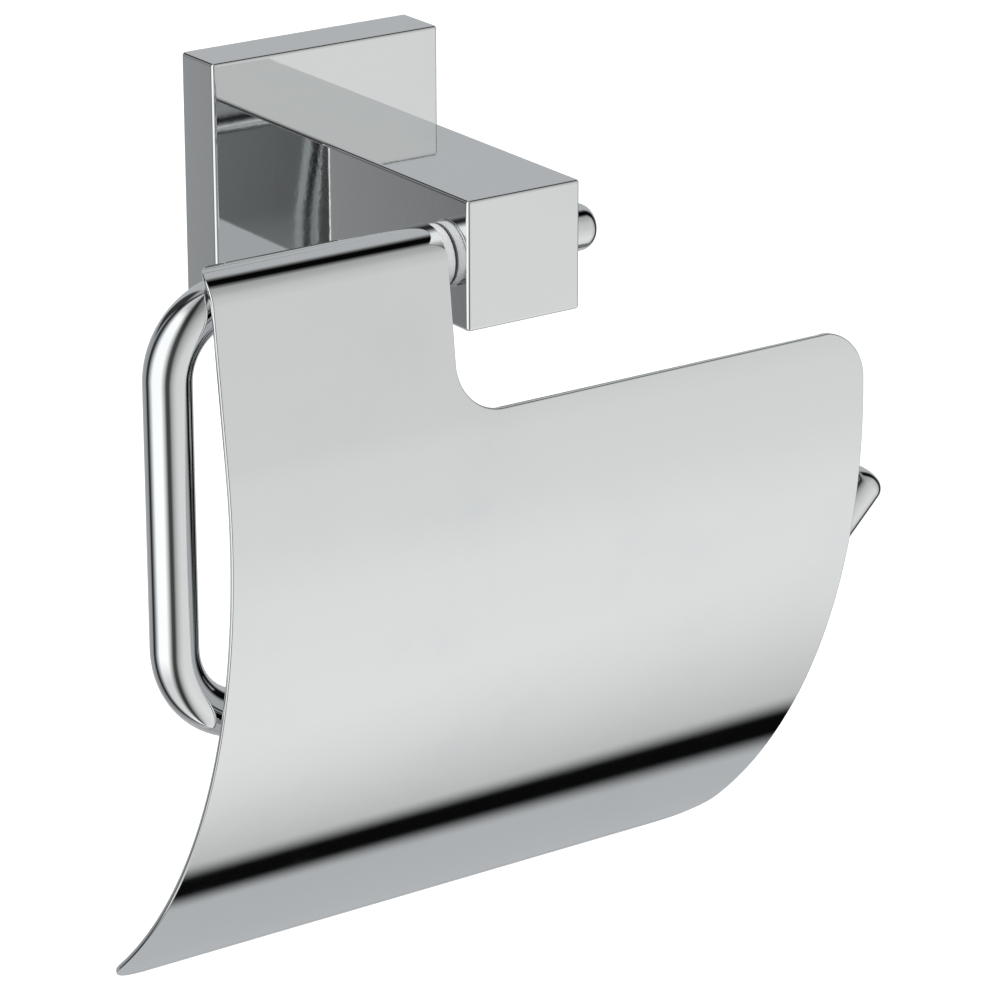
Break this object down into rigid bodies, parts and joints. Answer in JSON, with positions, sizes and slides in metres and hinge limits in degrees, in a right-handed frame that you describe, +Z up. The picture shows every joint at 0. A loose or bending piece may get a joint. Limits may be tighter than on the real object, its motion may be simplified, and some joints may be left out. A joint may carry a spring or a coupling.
{
  "type": "toilet paper holder",
  "caption": "Wall-mounted toilet paper holder: square rosette and post, bent rod with upturned tip for the roll, hinged curved sheet lid, all polished chrome.",
  "frame": {"origin": "centre of the rosette on the wall, midway between the two wall screws", "axes": "+Y into the wall, +Z up, +X to the right seen from the room, along the roll bar"},
  "size_m": [0.1633, 0.0762, 0.1708],
  "materials": {
    "chrome_casting": "polished",
    "chrome_rod": "polished",
    "chrome_sheet": "polished",
    "bracket_zinc": "as cast, zinc plated",
    "screw_steel": "zinc plated",
    "bush_plastic": "moulded, satin"
  },
  "bodies": {
    "holder": {"wall_bracket": "bracket_zinc", "rosette": "chrome_casting", "rosette_grub_screw": "screw_steel", "post": "chrome_casting", "post_screws": "screw_steel", "post_screw_washers": "screw_steel", "hanger_rod": "chrome_rod", "rod_grub_screw": "screw_steel"},
    "lid": {"cover": "chrome_sheet", "left_hinge_bush": "bush_plastic", "right_hinge_bush": "bush_plastic"}
  },
  "joints": [
    {"name": "lid_lift", "type": "hinge", "parent": "holder", "child": "lid", "pos_m": [-0.0386, -0.0655, 0], "axis": [-1, 0, 0], "range_deg": [0, 110]}
  ]
}
